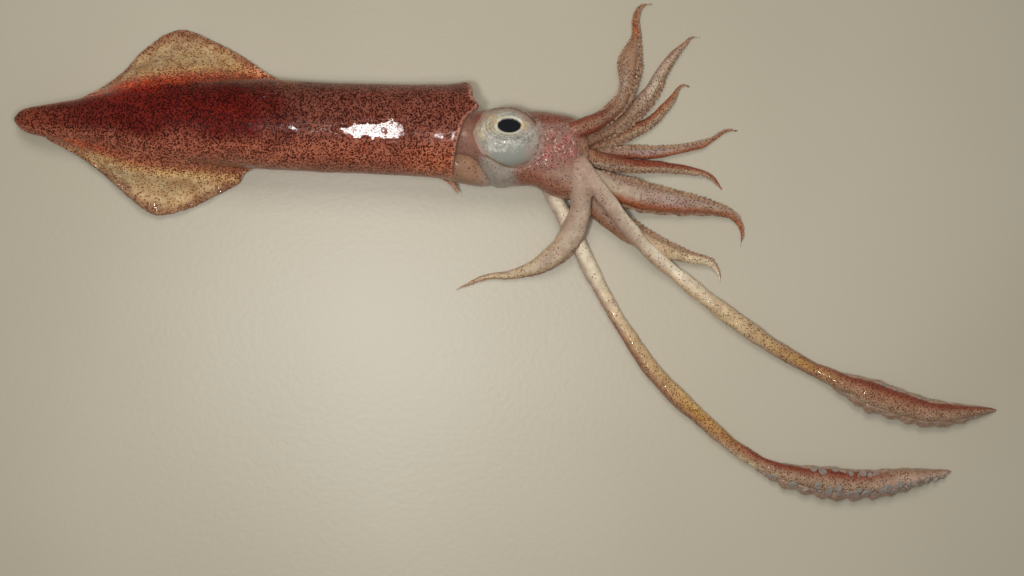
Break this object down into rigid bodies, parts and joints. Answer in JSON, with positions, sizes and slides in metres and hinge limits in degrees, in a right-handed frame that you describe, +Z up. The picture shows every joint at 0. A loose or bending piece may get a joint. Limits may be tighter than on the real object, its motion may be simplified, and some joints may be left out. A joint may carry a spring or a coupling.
{
  "type": "whole raw squid",
  "caption": "Whole raw squid lying on its side: long mantle with diamond fins, head with a large eye, fanned arms and two trailing tentacles.",
  "frame": {"origin": "on the resting surface, under the middle of the mantle, on the flat strip that the mantle rests on", "axes": "+X from the tail to the arms along the body, +Y towards the animal's back, +Z up, towards its right side"},
  "size_m": [0.3131, 0.1581, 0.0257],
  "materials": {
    "mantle_skin": "wet deep red-brown skin, densely dotted, with thin translucent amber fins",
    "head_skin": "wet pinkish-grey translucent skin with red-brown dots",
    "funnel_skin": "wet beige skin with sparse dark dots",
    "eye": "silver eyeball with a black pupil under clear skin",
    "arm_skin": "wet brownish-pink skin with red-brown dots and pale suckers",
    "tentacle_skin": "wet translucent amber skin with a dotted brown stripe and glassy suckers"
  },
  "bodies": {
    "root": {"mantle": "mantle_skin", "head": "head_skin", "funnel": "funnel_skin", "eye_right": "eye", "eye_left": "eye", "arm_1_right": "arm_skin", "arm_1_left": "arm_skin", "arm_2_right": "arm_skin", "arm_2_left": "arm_skin", "arm_3_right": "arm_skin", "arm_3_left": "arm_skin", "arm_4_right": "arm_skin", "arm_4_left": "arm_skin", "tentacle_right": "tentacle_skin", "tentacle_left": "tentacle_skin"}
  },
  "joints": []
}
